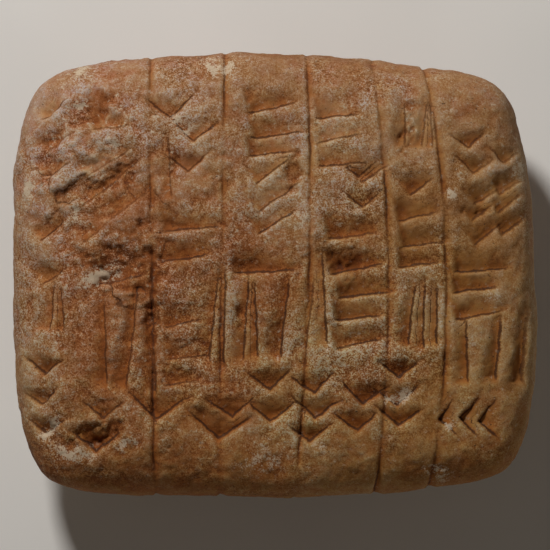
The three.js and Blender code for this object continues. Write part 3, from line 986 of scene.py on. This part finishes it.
    @staticmethod
    def quads(index: Array, flipped: bool) -> Array:
        """Four-cornered faces of a grid, counter-clockwise seen from +Z, or the other way round."""
        corners = [index[:-1, :-1], index[:-1, 1:], index[1:, 1:], index[1:, :-1]]
        if flipped:
            corners.reverse()
        return np.stack([corner.ravel() for corner in corners], axis=-1)


@dataclass(frozen=True)
class Stop:
    """One stop of a colour ramp."""

    place: float
    colour: tuple[float, float, float]


@dataclass(frozen=True)
class Mottle:
    """How the mottle group is used: blotch width in mm, its layers, and the values for 0 and 1."""

    size: float
    detail: float
    roughness: float
    low: float
    high: float
    shift: float = 0.0


class NodeSheet:
    """A node tree being laid out, with short ways to add a node and to join sockets."""

    def __init__(self, tree: bpy.types.NodeTree) -> None:
        """Starts with an empty tree."""
        self.tree = tree
        tree.nodes.clear()

    def add(
        self, kind: str, settings: dict | None = None, inputs: dict | None = None
    ) -> bpy.types.Node:
        """Adds a node.

        Args:
            kind: the node's type name.
            settings: properties of the node.
            inputs: for each input, a value, or an output socket to join to it.

        Returns:
            The node.
        """
        node = self.tree.nodes.new(kind)
        for name, value in (settings or {}).items():
            setattr(node, name, value)
        for name, value in (inputs or {}).items():
            socket = node.inputs[name]
            if isinstance(value, Socket):
                self.tree.links.new(value, socket)
            else:
                socket.default_value = value
        return node

    def math(self, operation: str, first: Socket | float, second: Socket | float) -> Socket:
        """Result of a sum on two values or sockets, kept within 0 to 1."""
        settings = {"operation": operation, "use_clamp": True}
        return self.add("ShaderNodeMath", settings, {0: first, 1: second}).outputs[0]

    def remap(
        self, value: Socket, low: float, high: float, to_low: float = 0.0, to_high: float = 1.0
    ) -> Socket:
        """Value stretched smoothly so that low becomes to_low and high becomes to_high."""
        settings = {"interpolation_type": "SMOOTHSTEP"}
        inputs = {"Value": value, "From Min": low, "From Max": high}
        inputs |= {"To Min": to_low, "To Max": to_high}
        return self.add("ShaderNodeMapRange", settings, inputs).outputs[0]

    def total(self, values: dict[str, Socket], weights: dict[str, float], start: float) -> Socket:
        """Start plus the sum of the named values, each times its weight."""
        return self.weighted([(values[name], weight) for name, weight in weights.items()], start)

    def weighted(self, terms: list[tuple[Socket, float]], start: float) -> Socket:
        """Start plus the sum of each term's socket times its weight."""
        total = start
        for socket, weight in terms:
            inputs = {0: socket, 1: weight, 2: total}
            total = self.add("ShaderNodeMath", {"operation": "MULTIPLY_ADD"}, inputs).outputs[0]
        return total

    def ramp(self, value: Socket, stops: tuple[Stop, ...]) -> Socket:
        """Colour read off a ramp of stops at value."""
        node = self.add("ShaderNodeValToRGB", None, {"Fac": value})
        elements = node.color_ramp.elements
        for number, stop in enumerate(stops):
            element = elements[number] if number < 2 else elements.new(stop.place)
            element.position = stop.place
            element.color = (*stop.colour, 1.0)
        return node.outputs["Color"]

    def mix(
        self,
        factor: Socket | float,
        first: Socket | Colour,
        second: Socket | Colour,
        blend: str = "MIX",
    ) -> Socket:
        """Two colours mixed by factor.

        Args:
            factor: a value or socket from 0, the first colour, to 1, the second.
            first: a colour or socket.
            second: a colour or socket.
            blend: the way of mixing.

        Returns:
            The colour socket.
        """
        settings = {"data_type": "RGBA", "blend_type": blend, "clamp_factor": True}
        node = self.add("ShaderNodeMix", settings)
        for index, value in ((0, factor), (6, first), (7, second)):
            if isinstance(value, Socket):
                self.tree.links.new(value, node.inputs[index])
            else:
                node.inputs[index].default_value = value
        return node.outputs[2]


def noise_group() -> bpy.types.NodeTree:
    """Builds the mottle group: layered noise of a given grain size, stretched to full contrast.

    Returns:
        The group, with the inputs Vector, Scale, Detail, Roughness, Low and High, and the output
        Mask.
    """
    group = bpy.data.node_groups.new("mottle", "ShaderNodeTree")
    sockets = group.interface
    sockets.new_socket("Vector", in_out="INPUT", socket_type="NodeSocketVector")
    for name in ("Scale", "Detail", "Roughness", "Low", "High"):
        sockets.new_socket(name, in_out="INPUT", socket_type="NodeSocketFloat")
    sockets.new_socket("Mask", in_out="OUTPUT", socket_type="NodeSocketFloat")
    sheet = NodeSheet(group)
    entry = sheet.add("NodeGroupInput")
    inputs = {name: entry.outputs[name] for name in ("Vector", "Scale", "Detail", "Roughness")}
    noise = sheet.add("ShaderNodeTexNoise", {"noise_dimensions": "3D"}, inputs)
    limits = {
        "Value": noise.outputs["Fac"],
        "From Min": entry.outputs["Low"],
        "From Max": entry.outputs["High"],
    }
    mask = sheet.add("ShaderNodeMapRange", {"interpolation_type": "SMOOTHSTEP"}, limits)
    sheet.add("NodeGroupOutput", None, {"Mask": mask.outputs[0]})
    return group


MOTTLES = {
    "broad": Mottle(2.4, 3.0, 0.8, 0.28, 0.72),
    "grains": Mottle(0.36, 3.0, 0.95, 0.3, 0.7, 0.029),
    "clouds": Mottle(6.5, 2.0, 0.6, 0.35, 0.65, 0.013),
    "flecks": Mottle(0.13, 1.0, 0.8, 0.3, 0.7, 0.037),
    "blush": Mottle(1.5, 3.0, 0.6, 0.38, 0.62, 0.053),
    "veiled": Mottle(1.9, 4.0, 0.75, 0.4, 0.62, 0.071),
    "blotches": Mottle(1.4, 3.0, 0.7, 0.42, 0.64, 0.047),
    "chalk": Mottle(0.55, 4.0, 0.75, 0.58, 0.68, 0.097),
    "pores": Mottle(0.2, 1.0, 0.5, 0.3, 0.22, 0.061),
    "break_up": Mottle(0.8, 4.0, 0.8, 0.38, 0.58, 0.083),
}


@dataclass(frozen=True)
class ClayFinish:
    """Porous clay, rust-brown in its hollows and pale dust on what stands proud, partly painted
    shade.

    One value, dust and painted shade together, runs from 0 to 1 and is read off a ramp of colours.
    Layered noise whose octaves are all about equally strong makes it uneven from grain size up to
    broad clouds.
    """

    red_ramp: tuple[Stop, ...] = (
        Stop(0.0, (0.14, 0.035, 0.006)),
        Stop(0.25, (0.26, 0.083, 0.018)),
        Stop(0.5, (0.345, 0.145, 0.055)),
        Stop(0.75, (0.42, 0.23, 0.128)),
        Stop(1.0, (0.48, 0.375, 0.285)),
    )
    buff_ramp: tuple[Stop, ...] = (
        Stop(0.0, (0.15, 0.051, 0.009)),
        Stop(0.25, (0.245, 0.1, 0.025)),
        Stop(0.5, (0.33, 0.168, 0.064)),
        Stop(0.75, (0.405, 0.252, 0.128)),
        Stop(1.0, (0.465, 0.385, 0.275)),
    )
    rust: Colour = (0.24, 0.07, 0.014, 1.0)
    crust: Colour = (0.56, 0.46, 0.335, 1.0)
    washed: Colour = (1.05, 0.98, 0.8, 1.0)
    veil: Colour = (0.96, 0.98, 1.15, 1.0)
    # Tints of the painted shade gradient: the lit upper left, and the shaded lower right.
    lit_side_tint: Colour = (1.0, 0.99, 1.16, 1.0)
    shaded_side_tint: Colour = (1.0, 1.02, 0.76, 1.0)
    # Near-black painted shade, laid on the pores and along the creases.
    pit_and_crease_shade: Colour = (0.035, 0.016, 0.008, 1.0)
    bump_distance: float = 0.025
    bump_strength: float = 0.6
    roughness: tuple[float, float] = (0.82, 0.98)
    specular: float = 0.25

    def mask(self, sheet: NodeSheet, group: bpy.types.NodeTree, look: Mottle) -> Socket:
        """Places the mottle group with its own size and contrast.

        Args:
            sheet: the material's node sheet.
            group: the mottle group.
            look: size, layers and contrast of the pattern.

        Returns:
            The mask's socket.
        """
        place = sheet.add("ShaderNodeTexCoord").outputs["Object"]
        shift = (look.shift, look.shift, look.shift)
        moved = sheet.add("ShaderNodeMapping", None, {"Vector": place, "Location": shift})
        inputs = {
            "Vector": moved.outputs[0],
            "Scale": 1.0 / (look.size * MM),
            "Detail": look.detail,
            "Roughness": look.roughness,
            "Low": look.low,
            "High": look.high,
        }
        return sheet.add("ShaderNodeGroup", {"node_tree": group}, inputs).outputs["Mask"]

    def find_cuts(self, sheet: NodeSheet, values: dict[str, Socket]) -> None:
        """Adds to values how smooth each place was pressed, and the painted shade line along a
        crease.
        """
        uneven_cut = sheet.total(values, {"cut": 1.0, "grains": 0.3}, -0.15)
        values["smooth"] = sheet.remap(uneven_cut, 0.08, 0.4)
        absolute = {"operation": "ABSOLUTE"}
        values["aside"] = sheet.add("ShaderNodeMath", absolute, {0: values["across"]}).outputs[0]
        aside = sheet.total(values, {"aside": 1.0, "grains": 0.08}, -0.04)
        near = sheet.remap(aside, 0.14, 0.03)
        # Painted shade: a dark line along each crease, where the crease's shadow falls.
        values["painted_crease_shade"] = sheet.math("MULTIPLY", values["crease"], near)

    def dust(self, sheet: NodeSheet, values: dict[str, Socket]) -> Socket:
        """How pale each place is: broad and raised terms, grit-strengthened grains, and painted
        shade.
        """
        weights = {
            "broad": 0.16,
            "raised": 0.42,
            "smooth": 0.08,
            "hollow": -0.16,
            "painted_crease_shade": -0.25,
            "dust_and_rim_shade": 0.34,
        }
        contrast = sheet.total(values, {"grit": 1.0, "smooth": -0.25}, 0.32)
        spread = sheet.total(values, {"grains": 0.85, "flecks": 0.8}, -0.83)
        fine = sheet.add("ShaderNodeMath", {"operation": "MULTIPLY"}, {0: spread, 1: contrast})
        terms = [(sheet.total(values, weights, 0.03), 1.0), (fine.outputs[0], 1.0)]
        return sheet.weighted(terms, 0.0)

    def ground(self, sheet: NodeSheet, values: dict[str, Socket]) -> Socket:
        """Clay colour: a red and a buff ramp mixed, tinted in cuts, and tinted by place as painted
        shade.
        """
        dust = self.dust(sheet, values)
        # Redder in low places: partly the clay's own rust, partly painted shade in the crevices.
        reds = {"rust": 0.8, "clouds": 0.25, "blush": 0.5, "raised": -0.8}
        redness = sheet.total(values, reds, 0.2)
        buff, red = sheet.ramp(dust, self.buff_ramp), sheet.ramp(dust, self.red_ramp)
        colour = sheet.mix(redness, buff, red)
        colour = sheet.mix(values["smooth"], colour, self.washed, "MULTIPLY")
        light_fall_tint = sheet.mix(values["shaded_side_warmth"], self.lit_side_tint, self.shaded_side_tint)
        colour = sheet.mix(1.0, colour, light_fall_tint, "MULTIPLY")
        return sheet.mix(values["veiled"], colour, self.veil, "MULTIPLY")

    def stained(self, sheet: NodeSheet, values: dict[str, Socket], colour: Socket) -> Socket:
        """Lays rust, chalk flecks, crusts and painted shade in pores and creases over a colour."""
        rusty = sheet.math("MULTIPLY", values["rust"], values["blotches"])
        where = sheet.total(values, {"dust_and_rim_shade": 0.6, "grit": 0.6}, 0.15)
        ragged = sheet.total(values, {"crust": 1.0, "break_up": 0.7, "flecks": 0.4}, -0.7)
        coats = (
            (rusty, 0.6, self.rust),
            (sheet.math("MULTIPLY", values["chalk"], where), 1.0, self.crust),
            # Painted shade: near-black dots in the pores and a line along each crease.
            (values["pores"], 0.8, self.pit_and_crease_shade),
            (values["painted_crease_shade"], 0.75, self.pit_and_crease_shade),
            (sheet.remap(ragged, 0.3, 0.8), 0.8, self.crust),
        )
        for mask, share, coat in coats:
            colour = sheet.mix(sheet.math("MULTIPLY", mask, share), colour, coat)
        return colour

    def build(self, group: bpy.types.NodeTree) -> bpy.types.Material:
        """Builds the material from the fields on the mesh and the mottle group.

        Args:
            group: the mottle group.

        Returns:
            The material.
        """
        material = bpy.data.materials.new("worn_clay")
        material.use_nodes = True
        sheet = NodeSheet(material.node_tree)
        values = {name: self.mask(sheet, group, look) for name, look in MOTTLES.items()}
        for name in FIELDS:
            values[name] = sheet.add("ShaderNodeAttribute", {"attribute_name": name}).outputs["Fac"]
        self.find_cuts(sheet, values)
        colour = self.stained(sheet, values, self.ground(sheet, values))
        reliefs = {"grains": 1.0, "flecks": 0.4, "pores": -1.0, "painted_crease_shade": -1.5}
        settings = {
            "Height": sheet.total(values, reliefs, 0.0),
            "Distance": self.bump_distance * MM,
            "Strength": self.bump_strength,
        }
        inputs = {
            "Base Color": colour,
            "Roughness": sheet.remap(values["grains"], 0.0, 1.0, *self.roughness),
            "Normal": sheet.add("ShaderNodeBump", None, settings).outputs[0],
            "Specular IOR Level": self.specular,
        }
        shader = sheet.add("ShaderNodeBsdfPrincipled", None, inputs)
        sheet.add("ShaderNodeOutputMaterial", None, {"Surface": shader.outputs[0]})
        return material


@dataclass(frozen=True)
class PaperFinish:
    """The pale, matt sheet under the tablet, with a faint unevenness."""

    pale: Colour = (0.8, 0.79, 0.77, 1.0)
    shade: Colour = (0.76, 0.75, 0.73, 1.0)

    def build(self, group: bpy.types.NodeTree) -> bpy.types.Material:
        """Builds the sheet's material from the mottle group."""
        material = bpy.data.materials.new("pale_sheet")
        material.use_nodes = True
        sheet = NodeSheet(material.node_tree)
        place = sheet.add("ShaderNodeTexCoord").outputs["Object"]
        inputs = {"Vector": place, "Scale": 40.0, "Detail": 2.0, "Roughness": 0.6}
        inputs |= {"Low": 0.3, "High": 0.7}
        mottle = sheet.add("ShaderNodeGroup", {"node_tree": group}, inputs).outputs["Mask"]
        inputs = {"Base Color": sheet.mix(mottle, self.pale, self.shade), "Roughness": 0.9}
        shader = sheet.add("ShaderNodeBsdfPrincipled", None, inputs)
        sheet.add("ShaderNodeOutputMaterial", None, {"Surface": shader.outputs[0]})
        return material


@dataclass(frozen=True)
class Lamp:
    """A square lamp: the way to it from the tablet, how far off and how large it is, its power."""

    name: str
    direction: tuple[float, float, float]
    distance: float
    size: float
    power: float
    colour: tuple[float, float, float]

    def hang(self) -> None:
        """Hangs the lamp so that it shines back along its direction."""
        x, y, z = np.array(self.direction) / np.linalg.norm(self.direction)
        data = bpy.data.lights.new(self.name, "AREA")
        data.size = self.size
        data.energy = self.power
        data.color = self.colour
        lamp = bpy.data.objects.new(self.name, data)
        lamp.location = (x * self.distance, y * self.distance, z * self.distance)
        lamp.rotation_euler = (math.acos(z), 0.0, math.atan2(y, x) + math.pi / 2.0)
        bpy.context.scene.collection.objects.link(lamp)


@dataclass
class Studio:
    """The pale floor, the lamps and the weak even sky, and the camera looking straight down."""

    floor_size: float = 1.2
    view_width: float = 0.0474
    view_height: float = 0.0082
    lens: float = 250.0
    sensor: float = 36.0
    lamps: tuple[Lamp, ...] = (
        Lamp("key", (-0.28, 0.64, 0.66), 0.27, 0.04, 0.57, (1.0, 0.97, 0.93)),
        Lamp("front", (0.4, -0.8, 0.35), 0.4, 0.2, 0.15, (1.0, 0.93, 0.84)),
    )
    sky: Colour = (1.0, 0.84, 0.68, 1.0)
    sky_strength: float = 0.05

    def lay_floor(self, material: bpy.types.Material) -> None:
        """Lays a square sheet under the tablet."""
        half = self.floor_size / 2.0
        corners = [(-half, -half, 0.0), (half, -half, 0.0), (half, half, 0.0), (-half, half, 0.0)]
        mesh = bpy.data.meshes.new("floor")
        mesh.from_pydata(corners, [], [(0, 1, 2, 3)])
        mesh.materials.append(material)
        floor = bpy.data.objects.new("floor", mesh)
        bpy.context.scene.collection.objects.link(floor)

    def fill(self) -> None:
        """Lights the shadows with a weak, even sky."""
        world = bpy.data.worlds.new("studio")
        world.use_nodes = True
        sheet = NodeSheet(world.node_tree)
        inputs = {"Color": self.sky, "Strength": self.sky_strength}
        background = sheet.add("ShaderNodeBackground", None, inputs)
        sheet.add("ShaderNodeOutputWorld", None, {"Surface": background.outputs[0]})
        bpy.context.scene.world = world

    def place_camera(self) -> None:
        """Puts the camera straight above, so far up that the frame is as wide as view_width."""
        camera_data = bpy.data.cameras.new("camera")
        camera_data.lens = self.lens
        camera_data.sensor_width = self.sensor
        camera = bpy.data.objects.new("camera", camera_data)
        distance = self.view_width * self.lens / self.sensor
        camera.location = (0.0, 0.0, self.view_height + distance)
        bpy.context.scene.collection.objects.link(camera)
        bpy.context.scene.camera = camera


def main() -> None:
    """Builds the tablet and its studio."""
    logging.basicConfig(level=logging.INFO, format="%(name)s: %(message)s")
    scene = bpy.context.scene
    scene.view_settings.view_transform = "Standard"
    low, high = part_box("tablet")
    cushion = Cushion(thickness=(high[2] - low[2]) / MM)
    own_middle = cushion.middle()
    frame_middle = ((low[0] + high[0]) / 2.0 / MM, (low[1] + high[1]) / 2.0 / MM)
    middle = (own_middle[0] - frame_middle[0], own_middle[1] - frame_middle[1])
    noise = LatticeNoise(seed=41)
    inscription = Inscription(noise)
    inscription.lay_out()
    LOG.info("laid out %d strokes", len(inscription.strokes))
    relief = inscription.press()
    LOG.info("pressed the strokes, deepest %.2f mm", relief.depth.max())
    tablet = TabletSurface(cushion, noise).build(relief, middle)
    group = noise_group()
    tablet.data.materials.append(ClayFinish().build(group))
    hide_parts("tablet")
    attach(tablet, "root")
    LOG.info("built the surface, %d faces", len(tablet.data.polygons))
    studio = Studio()
    studio.lay_floor(PaperFinish().build(group))
    for lamp in studio.lamps:
        lamp.hang()
    studio.fill()
    studio.place_camera()
    LOG.info("set up the studio")


if __name__ == "__main__":
    main()
